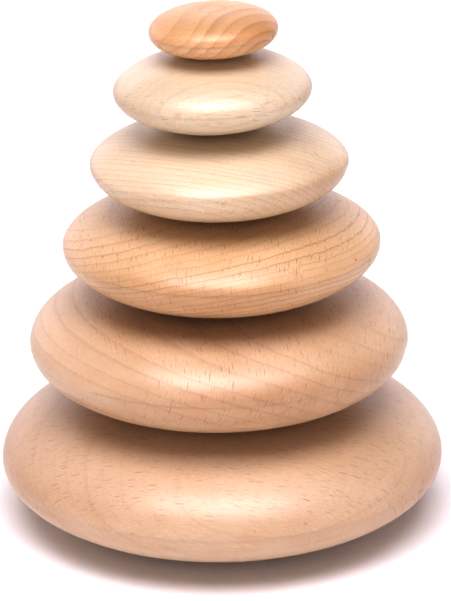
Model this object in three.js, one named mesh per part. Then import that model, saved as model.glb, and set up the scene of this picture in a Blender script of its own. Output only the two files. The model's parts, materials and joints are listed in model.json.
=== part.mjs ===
// A pegless tower of hanoi: six turned beech pebbles of falling size, stacked by hand.
// Each pebble is one solid piece of wood, a lens with a rounded rim. It stands on a small flat foot
// and carries the next pebble on a small flat seat, so nothing but its own weight holds it.
//
// Millimetres, +Z up. The origin is the centre of the bottom pebble's foot, on the table.

import * as THREE from "three";

// Driving dimensions, shared by every pebble.
const FLAT_SHARE = 0.2; // radius of the foot and of the seat, as a share of the pebble's radius
const BELLY_ROUNDNESS = 2.1; // of the rim under its widest line: 2 is an ellipse, and more is fuller
const CLEARANCE = 0.3; // between a pebble's foot and the seat under it

// How finely the turned surface is faceted.
const FACET_WIDTH = 6.5; // length of one facet along the rim
const FEWEST_FACETS = 24;
const BANDS = 8; // bands of facets from the rim to the foot, and from the rim to the seat

const SATIN_ROUGHNESS = 0.45; // of the waxed wood

// The pebbles, from the table up. dome and belly are the heights of the seat over the rim and of the
// rim over the foot, and their powers say how full each side is: 1 is a cone, and more is flatter in
// the middle. shoulder is the roundness of the rim over its widest line: 2 is an ellipse, and less is
// crisper. shift and lean are how the hand left the pebble on the one below: millimetres along X, and
// degrees that raise its +X side.
const PEBBLES = [
  {
    name: "pebble_1_base",
    diameter: 140,
    dome: 21.2,
    domePower: 2.8,
    shoulder: 1.9,
    belly: 19.7,
    bellyPower: 1.8,
    shift: 0,
    lean: 0,
    colour: 0xdcb18c,
  },
  {
    name: "pebble_2",
    diameter: 119,
    dome: 14.6,
    domePower: 4.2,
    shoulder: 1.75,
    belly: 17.7,
    bellyPower: 2.5,
    shift: -0.5,
    lean: 0,
    colour: 0xe2b48a,
  },
  {
    name: "pebble_3",
    diameter: 99,
    dome: 12.7,
    domePower: 2.25,
    shoulder: 1.75,
    belly: 17,
    bellyPower: 1.6,
    shift: 1.3,
    lean: 0.5,
    colour: 0xe3b083,
  },
  {
    name: "pebble_4",
    diameter: 80,
    dome: 10.9,
    domePower: 2,
    shoulder: 1.55,
    belly: 13.4,
    bellyPower: 2,
    shift: -0.2,
    lean: -0.1,
    colour: 0xf0cda2,
  },
  {
    name: "pebble_5",
    diameter: 61,
    dome: 11.7,
    domePower: 1.4,
    shoulder: 1.85,
    belly: 11.8,
    bellyPower: 1.3,
    shift: -1.4,
    lean: 0.9,
    colour: 0xf1d0aa,
  },
  {
    name: "pebble_6_top",
    diameter: 39.5,
    dome: 6.6,
    domePower: 2.2,
    shoulder: 2.1,
    belly: 6.5,
    bellyPower: 2.2,
    shift: 1,
    lean: 0.7,
    colour: 0xdf9f6c,
  },
];

// Half of a pebble's section, from its flat at radius flat out to the rim at the given radius.
// Returns points (radius, height over the rim's plane) from the flat's edge to just short of the rim.
function halfSection(radius, flat, height, power, roundness) {
  const points = [];
  for (let i = 0; i < BANDS; i++) {
    const turn = (Math.PI / 2) * (1 - i / BANDS);
    const reach = Math.cos(turn) ** (2 / power);
    points.push(new THREE.Vector2(
      flat + (radius - flat) * reach,
      height * Math.sin(turn) ** (2 / roundness),
    ));
  }
  return points;
}

// The closed section of a pebble, from the middle of its foot round the rim to the middle of its seat.
function section({ diameter, dome, domePower, shoulder, belly, bellyPower }) {
  const radius = diameter / 2;
  const flat = FLAT_SHARE * radius;
  const under = halfSection(radius, flat, belly, bellyPower, BELLY_ROUNDNESS)
    .map((p) => new THREE.Vector2(p.x, belly - p.y));
  const over = halfSection(radius, flat, dome, domePower, shoulder)
    .map((p) => new THREE.Vector2(p.x, belly + p.y))
    .reverse();
  return [
    new THREE.Vector2(0, 0),
    ...under,
    new THREE.Vector2(radius, belly),
    ...over,
    new THREE.Vector2(0, belly + dome),
  ];
}

// One pebble standing on its foot at the origin, turned about Z.
function turnedPebble(pebble) {
  const rimLength = Math.PI * pebble.diameter;
  // A whole number of facets in each quarter turn puts a corner on the X and Y axes.
  const quarter = Math.max(FEWEST_FACETS / 4, Math.round(rimLength / FACET_WIDTH / 4));
  const geometry = new THREE.LatheGeometry(section(pebble), 4 * quarter);
  geometry.rotateX(Math.PI / 2); // the lathe turns about Y
  const wood = new THREE.MeshStandardMaterial({
    color: pebble.colour,
    roughness: SATIN_ROUGHNESS,
    metalness: 0,
  });
  const mesh = new THREE.Mesh(geometry, wood);
  mesh.name = pebble.name;
  return mesh;
}

// Each pebble's place is a group of its own inside the place of the pebble below it.
function stack(pebbles) {
  const tower = new THREE.Group();
  let under = tower;
  let seat = 0;
  for (const pebble of pebbles) {
    const place = new THREE.Group();
    place.position.set(pebble.shift, 0, seat);
    place.rotation.y = -THREE.MathUtils.degToRad(pebble.lean);
    place.add(turnedPebble(pebble));
    under.add(place);
    under = place;
    seat = pebble.belly + pebble.dome + CLEARANCE;
  }
  return tower;
}

const tower = stack(PEBBLES);

export default tower;
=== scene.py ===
# Looks for a pegless tower of hanoi: six turned beech pebbles, stacked by hand on a white floor.
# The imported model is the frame. Each fine pebble takes its place, lean and size from its CAD node,
# and rides on that node's body. Lengths are metres, except for those of the wood, which are
# millimetres, and where a name ends in _MM.

import json
import math

import bmesh
import bpy
import numpy as np
from mathutils import Matrix, Vector, noise


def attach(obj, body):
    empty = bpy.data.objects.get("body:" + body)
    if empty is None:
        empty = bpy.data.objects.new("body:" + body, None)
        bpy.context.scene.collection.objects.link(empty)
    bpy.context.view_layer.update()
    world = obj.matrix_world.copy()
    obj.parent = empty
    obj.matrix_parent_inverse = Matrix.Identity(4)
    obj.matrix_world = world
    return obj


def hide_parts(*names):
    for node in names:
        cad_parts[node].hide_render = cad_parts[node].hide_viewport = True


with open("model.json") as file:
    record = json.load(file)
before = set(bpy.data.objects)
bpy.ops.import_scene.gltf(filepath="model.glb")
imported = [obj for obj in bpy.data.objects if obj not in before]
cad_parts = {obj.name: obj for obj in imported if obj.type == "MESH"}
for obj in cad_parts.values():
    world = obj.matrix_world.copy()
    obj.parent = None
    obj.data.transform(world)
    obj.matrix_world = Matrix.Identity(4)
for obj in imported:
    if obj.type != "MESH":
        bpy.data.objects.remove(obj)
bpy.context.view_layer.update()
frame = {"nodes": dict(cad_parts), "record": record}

MM = 0.001

# ---------------------------------------------------------------- the turned shape

FLAT_SHARE = 0.2  # radius of the foot and of the seat, as a share of the pebble's radius
BELLY_ROUNDNESS = 2.1  # of the rim under its widest line: 2 is an ellipse, and more is fuller
SEGMENTS = 288  # round the pebble
BANDS = 56  # from the rim to the foot, and from the rim to the seat
RIM_SHARE = 0.9999  # CAD corners farther out than this share of the radius are the rim's

PLANED_REACH = 62  # degrees to each side over which a planed flat fades out
PLANED_FADE = 0.5  # how it fades: less stays deep for longer
PLANED_INSIDE = 0.9  # share of the radius inside which nothing is planed
PLANED_TOP_EDGE = 0.1 * MM  # how round the flat's edges are
PLANED_LOW_EDGE = 0.5 * MM

SANDING_DEPTH = 0.09 * MM  # how deep hand sanding has left the shallow hollows
SANDING_WIDTH = 17 * MM  # and how wide they are
SANDING_RISE = 8  # how soon they start, away from the foot and the seat
SANDING_STEP = Vector((7, 3, 5))  # from one pebble's hollows to the next one's, in their widths

# ---------------------------------------------------------------- the wood of each pebble
# Every pebble is a solid piece of one tree.
# dome_power and belly_power say how full the two sides are, and shoulder is the roundness of the rim
# over its widest line: 2 is an ellipse, and less is crisper. planed is where a plane has flattened the
# side a little under the shoulder: the bearing from the front, and how deep it went.
# grain is the way the fibres run, in degrees from +X, and rise is how steeply they climb that way.
# tilt leans the growth rings about the fibres, pith is how far the tree's middle is from the foot, and
# ring is the width of a year's growth. wobble and ripple are how far the growth strays, slowly and
# quickly. colour is linear, and the shares say how strongly each kind of mark shows. ring_body is how
# much of a growth ring is its slow darkening, and not its last line. speckle is how rough the wood's
# finest relief is.
# A knot has a bearing from the front, a height over the foot, a radius, how far it pushes the growth
# rings out, and how dark its heart is.

PEBBLES = {
    "pebble_1_base": dict(
        dome_power=2.8, shoulder=1.9, belly_power=1.8, planed=(0, 0.2),
        grain=-1, rise=-13, tilt=-14, pith=150, ring=3.2, wobble=1.6, ripple=0.15,
        colour=(0.622, 0.456, 0.313), ring_share=0.13, ring_body=0.25,
        ray_share=0.56, speckle=0.6,
        knots=((-23, 20.6, 1.6, 1.2, 0.35), (21, 23.4, 1.4, 0.6, 0.45), (8, 23.1, 1.0, 0.4, 0.4)),
    ),
    "pebble_2": dict(
        dome_power=4.2, shoulder=1.75, belly_power=2.5, planed=(22, 0.6),
        grain=-73, rise=1, tilt=23, pith=300, ring=4.2, wobble=1.8, ripple=0.15,
        colour=(0.639, 0.463, 0.309), ring_share=0.25, ring_body=0.3,
        ray_share=0.62, speckle=1.5,
        knots=(),
    ),
    "pebble_3": dict(
        dome_power=2.25, shoulder=1.75, belly_power=1.6, planed=(5, 0.2),
        grain=80, rise=-4, tilt=12, pith=250, ring=1.7, wobble=1.6, ripple=0.30,
        colour=(0.68, 0.484, 0.297), ring_share=0.60, ring_body=0.2,
        ray_share=0.58, speckle=1.3,
        knots=((57, 19.3, 1.8, 0.8, 0.6), (28, 20.9, 3.5, 2.2, 0.1), (41, 19.7, 1.8, 1.2, 0.15)),
    ),
    "pebble_4": dict(
        dome_power=2.0, shoulder=1.55, belly_power=2, planed=(22, 0.6),
        grain=-27, rise=2, tilt=42, pith=160, ring=1.7, wobble=1.2, ripple=0.12,
        colour=(0.71, 0.58, 0.42), ring_share=0.40, ring_body=0.3,
        ray_share=0.55, speckle=0.6,
        knots=((-29, 14.3, 1.0, 0.5, 0.3),),
    ),
    "pebble_5": dict(
        dome_power=1.4, shoulder=1.85, belly_power=1.3, planed=(5, 0.3),
        grain=6, rise=-2, tilt=-74, pith=80, ring=2.2, wobble=1.4, ripple=0.12,
        colour=(0.705, 0.601, 0.453), ring_share=0.20, ring_body=0.3,
        ray_share=0.40, speckle=0.5,
        knots=((-20, 12.6, 3.6, 3.4, 0.2), (60, 12.4, 1.6, 0.8, 0.4)),
    ),
    "pebble_6_top": dict(
        dome_power=2.2, shoulder=2.1, belly_power=2.2, planed=(5, 0.1),
        grain=-41, rise=28, tilt=-1, pith=22.4, ring=3.0, wobble=0.5, ripple=0.08,
        colour=(0.703, 0.453, 0.244), ring_share=0.54, ring_body=0.8,
        ray_share=0.25, speckle=0.8,
        knots=((0, 7.0, 0.9, 0.3, 0.5),),
    ),
}

# What the wood's own colour is multiplied by where it drifts to its palest and to its deepest.
PALE = (1.05, 1.06, 1.08)
DEEP = (0.97, 0.95, 0.91)

# What each kind of mark multiplies the wood's colour by, where it shows in full.
RING_TINT = (0.62, 0.47, 0.44)
RAY_TINT = (0.45, 0.31, 0.25)
KNOT_TINT = (0.62, 0.36, 0.20)
END_GRAIN_TINT = (0.88, 0.80, 0.72)
HANDLED_TINT = (0.97, 0.92, 0.88)  # the wax and touch of hands, along the rim
RUBBED_TINT = (0.86, 0.80, 0.74)  # round the foot and the seat, where two pebbles meet

# Rays seen on their side, on a quarter-sawn face, are paler than the wood.
FLAKE = (0.88, 0.72, 0.56)
FLAKE_SHARE = 0.16

# What the darkest and the palest fibres multiply the colour by.
FIBRE_SHADE = (0.93, 1.07)

# Sizes, along the fibres, round the rings and out from the pith.
WOBBLE_SIZE = (80, 32, 32)
RIPPLE_SIZE = (16, 5, 5)
FIBRE_SIZE = (5.0, 0.32, 0.32)
DRIFT_SIZE = (70.0, 18.0, 11.0)
SPECKLE_SIZE = (1.6, 0.7, 0.7)
PATCH_SIZE = (9.0, 9.0, 5.0)  # of the handled patches, along the pebble's own axes
BLOCK_STEP = 61.0  # along the fibres, from one pebble's piece of the tree to the next one's

# A growth ring runs from 0 to 1 through its year.
RING_BODY = (0.2, 0.95)  # where the wood slowly darkens
RING_LINE = (0.76, 0.9)  # where its last, thin line comes in
RING_END = (1.0, 0.95)  # where the line ends
FAINTEST_RING = 0.4
YEAR_SHIFT = 1.5  # how far uneven years move the rings, in ring widths
YEAR_RATE = 0.5  # how quickly that changes from one ring to the next

# spacing is how far apart the rays are, and half is half their size. start moves the pattern.
BOLD_RAYS = dict(spacing=(4.6, 1.0, 4.2), half=(2.1, 0.16, 2.0), start=0.31)
FINE_RAYS = dict(spacing=(2.1, 0.55, 2.4), half=(0.8, 0.09, 1.5), start=0.77)
FINE_RAY_SHARE = 0.6
RAY_SCATTER = 0.9  # how far they stray from an even spacing
SMALLEST_RAY = 0.55
FAINTEST_RAY = 0.35
RAY_EDGE = (1.0, 0.6)  # where a ray starts and where it is full, in shares of its half size
RAY_DIP = 0.3  # how far the growth rings dip where they meet a ray
RAY_DIP_EDGE = (3.2, 0.2)  # where that starts and where it is full

KNOT_HEART = (0.45, 0.15)  # where a knot's heart starts and where it is darkest, in knot radii

# Where noise turns into a mark: the value at which it starts, and the one at which it is full.
DRIFTED = (0.3, 0.7)
PATCHED = (0.3, 0.7)
SHADED_FIBRES = (0.25, 0.75)
OPEN_FIBRES = (0.2, 0.8)
SCUFFED_FIBRES = (0.35, 0.6)

# How squarely a face looks along the fibres, round the rings or out from the pith, from 0 to 1: where
# it starts to show its end grain, its pale flakes or its faded rings, and where it shows them in full.
END_GRAIN = (0.5, 1.0)
QUARTER_SAWN = (0.5, 0.9)
FLAT_SAWN = (0.90, 0.995)
FLAT_SAWN_RINGS = 0.2  # how strongly growth rings still show on a flat-sawn face

HANDLED_BAND = (0.93, 0.995)  # shares of the radius between which the touch of hands comes in
LEAST_HANDLED = 0.35  # between the patches

# The rubbed ring is strongest at the edge of the flat. These are its two ends, in radii of the flat.
RUBBED_FROM = 0.5
RUBBED_TO = 1.3

# How far each kind of mark stands out from the surface. Less than 0 is sunk in.
FIBRE_RELIEF = 0.006
RAY_RELIEF = -0.010
RING_RELIEF = 0.004
SPECKLE_RELIEF = 0.016

ROUGHNESS = 0.41
FIBRE_ROUGHNESS = 0.08  # between the closest and the most open fibres
RAY_ROUGHNESS = 0.12
HANDLED_ROUGHNESS = -0.06
COAT_WEIGHT = 0.82  # of wax
COAT_ROUGHNESS = 0.37
WOOD_IOR = 1.5

# ---------------------------------------------------------------- the studio

TARGET = Vector((1.65, 0, 70.35)) * MM
CAMERA_DISTANCE = 1.0
CAMERA_ELEVATION = 21.48
CAMERA_ROLL = 0.73
CAMERA_REACH = 50.0  # past the far edge of the floor
LENS_MM = 190.97

FLOOR_SIZE = 40.0
FLOOR_COLOUR = (0.95, 0.945, 0.945, 1)
FLOOR_ROUGHNESS = 0.75

# The key is a broad soft box that leans over the tower from in front, a little to its left. The
# fill is a lower and much dimmer one, under it.
BOX_DISTANCE = 6.4
BOX_COLOUR = (1.0, 0.97, 1.04)
KEY = dict(elevation=68, azimuth=-4, width=5.6, height=4.0, radiance=7.5)
FILL = dict(elevation=25, azimuth=-2, width=5.2, height=2.2, radiance=1.3)

# The backdrop is a lit white sheet behind the tower, which lights the far rims.
BACKDROP_DISTANCE = 12.0
BACKDROP_SHIFT = 2.4  # to the left
BACKDROP_WIDTH = 33.8
BACKDROP_HEIGHT = 9.0
BACKDROP_RADIANCE = 0.9
ROOM_COLOUR = (1.0, 0.925, 0.98)  # of the light from the backdrop and the rest of the room

# The rest of the studio is pale at the horizon, and falls off to a dim ceiling.
HORIZON_RADIANCE = 0.95
HORIZON_BAND = 0.7  # where the ceiling starts, as the sine of its elevation
CEILING_RADIANCE = 0.08

VIEW_GAMMA = 0.667  # the picture's contrast: less than 1 deepens its middle tones and shadows


# ---------------------------------------------------------------- shape


def placed(node):
    """A CAD pebble's own frame and sizes: the matrix from its foot's centre, its radius, and the
    heights of its rim and seat. Its axis is the way in which its corners spread least."""
    corners = np.array([v.co for v in frame["nodes"][node].data.vertices])
    middle = corners.mean(axis=0)
    spread = np.linalg.eigh(np.cov((corners - middle).T))
    axis = spread.eigenvectors[:, 0]
    axis = axis if axis[2] > 0 else -axis
    along = (corners - middle) @ axis
    off_axis = np.linalg.norm(corners - middle - np.outer(along, axis), axis=1)
    radius = off_axis.max()
    rim = along[off_axis > RIM_SHARE * radius].mean() - along.min()
    foot = Vector(middle + axis * along.min())
    lean = Vector((0, 0, 1)).rotation_difference(Vector(axis)).to_matrix().to_4x4()
    return Matrix.Translation(foot) @ lean, radius, rim, along.max() - along.min()


def half_section(radius, height, power, roundness):
    """Points (radius, height over the rim) of a turned curve, from the flat's edge to just short
    of the rim."""
    flat = FLAT_SHARE * radius
    points = []
    for i in range(BANDS):
        turn = math.pi / 2 * (1 - i / BANDS)
        reach = max(math.cos(turn), 0) ** (2 / power)
        points.append((flat + (radius - flat) * reach, height * math.sin(turn) ** (2 / roundness)))
    return points


def section(radius, rim, seat, look):
    """The turned outline from the foot's edge round the rim to the seat's edge."""
    under = half_section(radius, rim, look["belly_power"], BELLY_ROUNDNESS)
    over = half_section(radius, seat - rim, look["dome_power"], look["shoulder"])
    below = [(r, rim - z) for r, z in under]
    above = [(r, rim + z) for r, z in reversed(over)]
    return below + [(radius, rim)] + above


def turned(name, outline):
    """A closed mesh of the outline turned about Z, with a flat foot and a flat seat."""
    shape = bmesh.new()
    rings = []
    for r, z in outline:
        ring = []
        for i in range(SEGMENTS):
            a = 2 * math.pi * i / SEGMENTS
            ring.append(shape.verts.new((r * math.cos(a), r * math.sin(a), z)))
        rings.append(ring)
    for low, high in zip(rings, rings[1:]):
        for i in range(SEGMENTS):
            j = (i + 1) % SEGMENTS
            shape.faces.new((low[i], low[j], high[j], high[i]))
    for ring, z, faces_down in ((rings[0], outline[0][1], True), (rings[-1], outline[-1][1], False)):
        hub = shape.verts.new((0, 0, z))
        for i in range(SEGMENTS):
            edge = (ring[i], ring[(i + 1) % SEGMENTS])
            shape.faces.new((*edge[::-1], hub) if faces_down else (*edge, hub))
    mesh = bpy.data.meshes.new(name)
    shape.to_mesh(mesh)
    shape.free()
    mesh.polygons.foreach_set("use_smooth", [True] * len(mesh.polygons))
    return mesh


def plane_side(mesh, radius, rim, side, depth):
    """Flattens the side a little, with a crisp edge along the shoulder and a soft one under it."""
    for vertex in mesh.vertices:
        x, y, z = vertex.co
        off_axis = math.hypot(x, y)
        turned_by = math.degrees(math.atan2(x, -y)) - side
        turned_by = abs((turned_by + 180) % 360 - 180)
        if turned_by > PLANED_REACH or off_axis < PLANED_INSIDE * radius:
            continue
        share = 0.5 + 0.5 * math.cos(math.pi * turned_by / PLANED_REACH)
        limit = radius - depth * MM * share ** PLANED_FADE
        edge = PLANED_TOP_EDGE if z > rim else PLANED_LOW_EDGE
        planed = limit - edge * math.log1p(math.exp((limit - off_axis) / edge))
        scale = min(1, planed / off_axis)
        vertex.co.x = x * scale
        vertex.co.y = y * scale


def hand_sand(mesh, seat, where):
    """Lets shallow hollows into the curved surface, as sanding by hand leaves them. The foot, the
    seat and the piece's outer size stay as they are, because the hollows only go inwards."""
    normals = [v.normal.copy() for v in mesh.vertices]
    for vertex, normal in zip(mesh.vertices, normals):
        height = vertex.co.z / seat
        keep_flat = max(0.0, min(1.0, height * (1 - height) * SANDING_RISE))
        hollow = 0.5 + 0.5 * noise.noise(vertex.co / SANDING_WIDTH + where)
        vertex.co -= normal * (SANDING_DEPTH * hollow * keep_flat)


def fine_pebble(number, node, look):
    """The visible pebble that stands for a CAD node."""
    matrix, radius, rim, seat = placed(node)
    outline = section(radius, rim, seat, look)
    mesh = turned(node + "_wood", outline)
    plane_side(mesh, radius, rim, *look["planed"])
    hand_sand(mesh, seat, number * SANDING_STEP)
    mesh.transform(matrix)
    mesh.materials.append(beech(node + "_beech", look, number, matrix, outline))
    piece = bpy.data.objects.new(node + "_wood", mesh)
    bpy.context.scene.collection.objects.link(piece)
    body = next(b for b, nodes in frame["record"]["behaviour"]["bodies"].items() if node in nodes)
    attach(piece, body)
    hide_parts(node)


# ---------------------------------------------------------------- wood


class Nodes:
    """A node tree, with one short call for each kind of node that the materials use."""

    def __init__(self, tree):
        self.tree = tree

    def feed(self, socket, value):
        if isinstance(value, bpy.types.NodeSocket):
            self.tree.links.new(value, socket)
        else:
            socket.default_value = value

    def add(self, kind, inputs=None, **settings):
        node = self.tree.nodes.new("ShaderNode" + kind)
        for name, value in settings.items():
            setattr(node, name, value)
        for name, value in (inputs or {}).items():
            self.feed(node.inputs[name], value)
        return node

    def math(self, operation, *values):
        node = self.add("Math", operation=operation)
        for socket, value in zip(node.inputs, values):
            self.feed(socket, value)
        return node.outputs[0]

    def vector(self, operation, *values):
        node = self.add("VectorMath", operation=operation)
        for socket, value in zip(node.inputs, values):
            self.feed(socket, value)
        return node.outputs["Value" if operation in ("LENGTH", "DOT_PRODUCT") else "Vector"]

    def combine(self, x, y, z):
        return self.add("CombineXYZ", {"X": x, "Y": y, "Z": z}).outputs[0]

    def separate(self, vector):
        return self.add("SeparateXYZ", {"Vector": vector}).outputs

    def step(self, value, start, end, low=0.0, high=1.0):
        """A smooth step from low at start to high at end."""
        return self.add("MapRange", {
            "Value": value, "From Min": start, "From Max": end, "To Min": low, "To Max": high,
        }, interpolation_type="SMOOTHSTEP").outputs["Result"]

    def noise(self, vector, detail=2.0, roughness=0.5):
        return self.add("TexNoise", {
            "Vector": vector, "Scale": 1.0, "Detail": detail, "Roughness": roughness,
        })

    def mix(self, share, a, b, blend="MIX"):
        """Colours a and b mixed, or a blended with b."""
        node = self.add("Mix", data_type="RGBA", blend_type=blend)
        named = {s.identifier: s for s in node.inputs}
        self.feed(named["Factor_Float"], share)
        for name, colour in (("A_Color", a), ("B_Color", b)):
            self.feed(named[name], (*colour, 1) if isinstance(colour, tuple) else colour)
        return next(s for s in node.outputs if s.identifier == "Result_Color")


def own_frame(nodes, matrix):
    """A point in millimetres from the pebble's foot, along the pebble's own axes."""
    lean = matrix.to_3x3().inverted()
    return nodes.add("Mapping", {
        "Vector": nodes.add("TexCoord").outputs["Object"],
        "Scale": (1 / MM,) * 3,
        "Rotation": lean.to_euler(),
        "Location": lean @ -matrix.translation / MM,
    }).outputs[0]


def stray(nodes, place, size, amount):
    """A smooth wander of up to about amount each way, over lengths of the given size."""
    wander = nodes.noise(nodes.vector("DIVIDE", place, size), detail=1.0).outputs["Color"]
    centred = nodes.vector("SUBTRACT", wander, (0.5, 0.5, 0.5))  # the noise runs from 0 to 1
    return nodes.vector("MULTIPLY", centred, (2 * amount,) * 3)


def tree_turn(look):
    """The turn from the pebble's axes to the tree's: along the fibres, round the rings and out."""
    return (
        Matrix.Rotation(math.radians(look["tilt"]), 3, "X")
        @ Matrix.Rotation(math.radians(look["rise"]), 3, "Y")
        @ Matrix.Rotation(math.radians(-look["grain"]), 3, "Z")
    )


def tree_frame(nodes, own, look, number):
    """Where a point lies in the tree: millimetres along the fibres, round the rings and outwards."""
    straight = nodes.add("Mapping", {
        "Vector": own,
        "Rotation": tree_turn(look).to_euler(),
        "Location": (0, 0, look["pith"]),
    }).outputs[0]
    bent = nodes.vector("ADD", straight, stray(nodes, straight, WOBBLE_SIZE, look["wobble"]))
    bent = nodes.vector("ADD", bent, stray(nodes, straight, RIPPLE_SIZE, look["ripple"]))
    along, sideways, up = nodes.separate(bent)
    out = nodes.vector("LENGTH", nodes.combine(0.0, sideways, up))
    across = nodes.math("MULTIPLY", nodes.math("ARCTAN2", sideways, up), float(look["pith"]))
    return nodes.combine(nodes.math("ADD", along, BLOCK_STEP * number), across, out)


def on_skin(outline, bearing, height):
    """The point of the surface at a bearing from the front and a height over the foot."""
    radius = float(np.interp(height, [z / MM for r, z in outline], [r / MM for r, z in outline]))
    turn = math.radians(bearing)
    return (radius * math.sin(turn), -radius * math.cos(turn), height)


def pin_knots(nodes, own, outline, look):
    """Small knots: how far they push the growth rings out, and how dark their hearts are."""
    push = 0.0
    heart = 0.0
    for bearing, height, radius, reach, darkness in look["knots"]:
        centre = on_skin(outline, bearing, height)
        distance = nodes.vector("LENGTH", nodes.vector("SUBTRACT", own, centre))
        push = nodes.math("MULTIPLY_ADD", nodes.step(distance, radius, 0.0), reach, push)
        core = nodes.step(distance, *(share * radius for share in KNOT_HEART))
        heart = nodes.math("MULTIPLY_ADD", core, darkness, heart)
    return push, heart


def growth_rings(nodes, tree, look, push):
    """How dense the wood is: each year ends in a thin, darker line, some years more than others."""
    out = nodes.math("ADD", nodes.separate(tree)[2], push)
    slowly = nodes.math("MULTIPLY", out, YEAR_RATE / look["ring"])
    uneven = nodes.noise(nodes.combine(slowly, 0.0, 0.0)).outputs["Fac"]
    shifted = nodes.math("MULTIPLY_ADD", uneven, YEAR_SHIFT * look["ring"], out)
    years = nodes.math("DIVIDE", shifted, look["ring"])
    season = nodes.math("FRACT", years)
    year = nodes.add("TexWhiteNoise", {"W": nodes.math("FLOOR", years)}, noise_dimensions="1D")
    body = nodes.math("MULTIPLY", nodes.step(season, *RING_BODY), look["ring_body"])
    line = nodes.math("MULTIPLY", nodes.step(season, *RING_LINE), 1 - look["ring_body"])
    dense = nodes.math("MULTIPLY", nodes.math("ADD", body, line), nodes.step(season, *RING_END))
    strength = nodes.step(year.outputs["Value"], 0.0, 1.0, FAINTEST_RING, 1.0)
    return nodes.math("MULTIPLY", dense, strength)


def rays(nodes, tree, spacing, half, start):
    """Thin plates that run out from the pith. Returns how much of a ray there is, and how near the
    closest one is."""
    place = nodes.vector("DIVIDE", tree, spacing)
    place = nodes.vector("ADD", place, (start, 2 * start, 3 * start))
    nearest = nodes.add("TexVoronoi", {"Vector": place, "Scale": 1.0, "Randomness": RAY_SCATTER})
    offset = nodes.vector("SUBTRACT", place, nearest.outputs["Position"])
    offset = nodes.vector("MULTIPLY", offset, tuple(s / h for s, h in zip(spacing, half)))
    size, depth, _ = nodes.separate(nearest.outputs["Color"])
    size = nodes.step(size, 0, 1, SMALLEST_RAY, 1.0)
    depth = nodes.step(depth, 0, 1, FAINTEST_RAY, 1.0)
    reach = nodes.math("DIVIDE", nodes.vector("LENGTH", offset), size)
    plate = nodes.math("MULTIPLY", nodes.step(reach, *RAY_EDGE), depth)
    near = nodes.math("MULTIPLY", nodes.step(reach, *RAY_DIP_EDGE), depth)
    return plate, near


def facing(nodes, turn, axis):
    """How squarely the surface faces along one of the tree's axes, from 0 to 1."""
    normal = nodes.add("TexCoord").outputs["Normal"]
    return nodes.math("ABSOLUTE", nodes.vector("DOT_PRODUCT", normal, tuple(turn.row[axis])))


def wear(nodes, own, outline, fibre):
    """Where hands have polished the rim, and where the foot and seat have rubbed other pebbles."""
    radius = max(r for r, z in outline) / MM
    x, y, _ = nodes.separate(own)
    off_axis = nodes.vector("LENGTH", nodes.combine(x, y, 0.0))
    patches = nodes.noise(nodes.vector("DIVIDE", own, PATCH_SIZE)).outputs["Fac"]
    patches = nodes.step(nodes.step(patches, *PATCHED), 0, 1, LEAST_HANDLED, 1.0)
    rim = nodes.step(off_axis, *(share * radius for share in HANDLED_BAND))
    handled = nodes.math("MULTIPLY", rim, patches)
    flat = FLAT_SHARE * radius
    outside = nodes.step(off_axis, RUBBED_TO * flat, flat)
    inside = nodes.step(off_axis, RUBBED_FROM * flat, flat)
    rubbed = nodes.math("MULTIPLY", outside, inside)
    scuffs = nodes.math("MULTIPLY", rubbed, nodes.step(fibre, *SCUFFED_FIBRES))
    return handled, scuffs


def wood_marks(nodes, look, number, matrix, outline):
    """Everything that marks the wood: how strong each mark is at every point of the block."""
    own = own_frame(nodes, matrix)
    tree = tree_frame(nodes, own, look, number)
    turn = tree_turn(look)
    bold, near = rays(nodes, tree, **BOLD_RAYS)
    fine, _ = rays(nodes, tree, **FINE_RAYS)
    push, heart = pin_knots(nodes, own, outline, look)
    push = nodes.math("MULTIPLY_ADD", near, RAY_DIP, push)
    ring = growth_rings(nodes, tree, look, push)
    faded = nodes.step(facing(nodes, turn, 2), *FLAT_SAWN, 1.0, FLAT_SAWN_RINGS)
    fibres = nodes.noise(nodes.vector("DIVIDE", tree, FIBRE_SIZE), detail=3.0, roughness=0.6)
    drift = nodes.noise(nodes.vector("DIVIDE", tree, DRIFT_SIZE))
    speckle = nodes.noise(nodes.vector("DIVIDE", tree, SPECKLE_SIZE), detail=1.0)
    handled, scuffs = wear(nodes, own, outline, fibres.outputs["Fac"])
    return dict(
        ring=nodes.math("MULTIPLY", ring, faded),
        ray=nodes.math("MAXIMUM", bold, nodes.math("MULTIPLY", fine, FINE_RAY_SHARE)),
        heart=heart,
        fibre=fibres.outputs["Fac"],
        drift=drift.outputs["Fac"],
        speckle=speckle.outputs["Fac"],
        end_grain=nodes.step(facing(nodes, turn, 0), *END_GRAIN),
        quarter_sawn=nodes.step(facing(nodes, turn, 1), *QUARTER_SAWN),
        handled=handled,
        scuffs=scuffs,
    )


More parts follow.
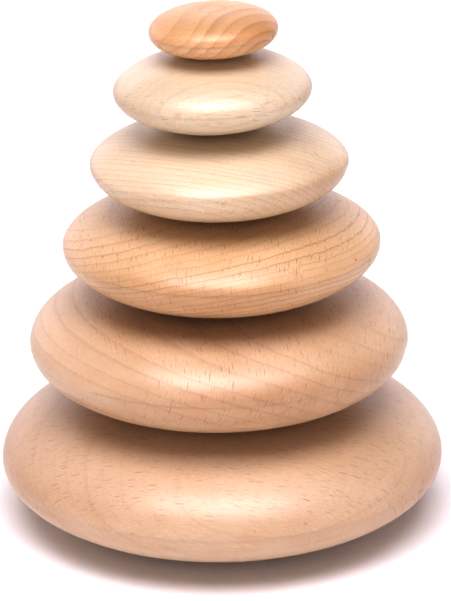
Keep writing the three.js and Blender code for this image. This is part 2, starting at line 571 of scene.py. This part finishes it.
def wood_colour(nodes, look, marks):
    """The colour of the wood, with every mark on it."""
    pale = tuple(c * share for c, share in zip(look["colour"], PALE))
    deep = tuple(c * share for c, share in zip(look["colour"], DEEP))
    colour = nodes.mix(nodes.step(marks["drift"], *DRIFTED), pale, deep)

    ring = nodes.math("MULTIPLY", marks["ring"], look["ring_share"])
    colour = nodes.mix(ring, colour, RING_TINT, "MULTIPLY")
    dark = nodes.step(marks["quarter_sawn"], 0, 1, look["ray_share"], 0.0)
    colour = nodes.mix(nodes.math("MULTIPLY", marks["ray"], dark), colour, RAY_TINT, "MULTIPLY")
    pale_flake = nodes.step(marks["quarter_sawn"], 0, 1, 0, FLAKE_SHARE)
    colour = nodes.mix(nodes.math("MULTIPLY", marks["ray"], pale_flake), colour, FLAKE)

    tints = dict(heart=KNOT_TINT, end_grain=END_GRAIN_TINT, handled=HANDLED_TINT, scuffs=RUBBED_TINT)
    for mark, tint in tints.items():
        colour = nodes.mix(marks[mark], colour, tint, "MULTIPLY")
    shade = nodes.step(marks["fibre"], *SHADED_FIBRES, *FIBRE_SHADE)
    return nodes.mix(1.0, colour, nodes.combine(shade, shade, shade), "MULTIPLY")


def wood_roughness(nodes, marks):
    """How rough the wood is under its wax."""
    rough = nodes.step(marks["fibre"], *OPEN_FIBRES, ROUGHNESS, ROUGHNESS + FIBRE_ROUGHNESS)
    rough = nodes.math("MULTIPLY_ADD", marks["ray"], RAY_ROUGHNESS, rough)
    return nodes.math("MULTIPLY_ADD", marks["handled"], HANDLED_ROUGHNESS, rough)


def wood_relief(nodes, look, marks):
    """The surface's finest relief, as a bumped normal."""
    height = nodes.math("MULTIPLY", marks["fibre"], FIBRE_RELIEF)
    height = nodes.math("MULTIPLY_ADD", marks["ray"], RAY_RELIEF, height)
    height = nodes.math("MULTIPLY_ADD", marks["ring"], RING_RELIEF, height)
    height = nodes.math("MULTIPLY_ADD", marks["speckle"], SPECKLE_RELIEF * look["speckle"], height)
    return nodes.add("Bump", {"Height": height, "Strength": 1.0, "Distance": MM}).outputs[0]


def beech(name, look, number, matrix, outline):
    """Waxed beech cut from one block. Its marks are solid, so every face shows its own cut of them."""
    material = bpy.data.materials.new(name)
    material.use_nodes = True
    material.node_tree.nodes.clear()
    nodes = Nodes(material.node_tree)
    marks = wood_marks(nodes, look, number, matrix, outline)
    shader = nodes.add("BsdfPrincipled", {
        "Base Color": wood_colour(nodes, look, marks),
        "Roughness": wood_roughness(nodes, marks),
        "Normal": wood_relief(nodes, look, marks),
        "IOR": WOOD_IOR,
        "Coat Weight": COAT_WEIGHT,
        "Coat Roughness": COAT_ROUGHNESS,
    })
    output = nodes.add("OutputMaterial", {"Surface": shader.outputs[0]})
    output.is_active_output = True
    return material


# ---------------------------------------------------------------- studio


def floor():
    """A plain white floor under the foot, far wider than any view of it."""
    half = FLOOR_SIZE / 2
    mesh = bpy.data.meshes.new("floor")
    corners = [(-half, -half, 0), (half, -half, 0), (half, half, 0), (-half, half, 0)]
    mesh.from_pydata(corners, [], [(0, 1, 2, 3)])
    ground = bpy.data.objects.new("floor", mesh)
    bpy.context.scene.collection.objects.link(ground)
    material = bpy.data.materials.new("white_floor")
    material.use_nodes = True
    shader = material.node_tree.nodes["Principled BSDF"]
    shader.inputs["Base Color"].default_value = FLOOR_COLOUR
    shader.inputs["Roughness"].default_value = FLOOR_ROUGHNESS
    mesh.materials.append(material)


def towards(azimuth, elevation):
    """The direction that is so many degrees to the right of the front, and over the floor."""
    turn = math.radians(azimuth)
    up = math.radians(elevation)
    return Vector((math.sin(turn) * math.cos(up), -math.cos(turn) * math.cos(up), math.sin(up)))


def soft_box(name, place, width, height, radiance, colour):
    """A flat rectangular light that faces the tower."""
    lamp = bpy.data.lights.new(name, "AREA")
    lamp.shape = "RECTANGLE"
    lamp.size = width
    lamp.size_y = height
    lamp.color = colour
    lamp.energy = radiance * math.pi * width * height
    box = bpy.data.objects.new(name, lamp)
    bpy.context.scene.collection.objects.link(box)
    box.location = place
    box.rotation_euler = (TARGET - box.location).to_track_quat("-Z", "Y").to_euler()


def lights():
    """The key over the tower, the fill under it, and the white backdrop behind."""
    for name, box in (("key", KEY), ("fill", FILL)):
        place = TARGET + BOX_DISTANCE * towards(box["azimuth"], box["elevation"])
        soft_box(name, place, box["width"], box["height"], box["radiance"], BOX_COLOUR)
    behind = Vector((-BACKDROP_SHIFT, BACKDROP_DISTANCE, BACKDROP_HEIGHT / 2))
    soft_box("backdrop", behind, BACKDROP_WIDTH, BACKDROP_HEIGHT, BACKDROP_RADIANCE, ROOM_COLOUR)


def studio_walls():
    """The rest of the studio, as the world all round."""
    world = bpy.data.worlds.new("studio")
    bpy.context.scene.world = world
    world.use_nodes = True
    nodes = Nodes(world.node_tree)
    up = nodes.separate(nodes.add("TexCoord").outputs["Generated"])[2]
    glow = nodes.step(up, 0.0, HORIZON_BAND, HORIZON_RADIANCE, CEILING_RADIANCE)
    background = world.node_tree.nodes["Background"]
    nodes.feed(background.inputs["Strength"], glow)
    background.inputs["Color"].default_value = (*ROOM_COLOUR, 1)


def camera():
    """Looks down on the tower from in front, with a long lens."""
    lens = bpy.data.cameras.new("camera")
    lens.lens = LENS_MM
    lens.clip_end = CAMERA_REACH
    eye = bpy.data.objects.new("camera", lens)
    bpy.context.scene.collection.objects.link(eye)
    down = math.radians(CAMERA_ELEVATION)
    eye.location = TARGET + CAMERA_DISTANCE * Vector((0, -math.cos(down), math.sin(down)))
    pitch = Matrix.Rotation(math.pi / 2 - down, 3, "X")
    roll = Matrix.Rotation(math.radians(-CAMERA_ROLL), 3, "Z")
    eye.rotation_euler = (pitch @ roll).to_euler()
    bpy.context.scene.camera = eye


# ---------------------------------------------------------------- the scene

camera()
floor()
lights()
studio_walls()
bpy.context.scene.view_settings.view_transform = "Standard"
bpy.context.scene.view_settings.gamma = VIEW_GAMMA

for number, (node, look) in enumerate(PEBBLES.items(), start=1):
    fine_pebble(number, node, look)
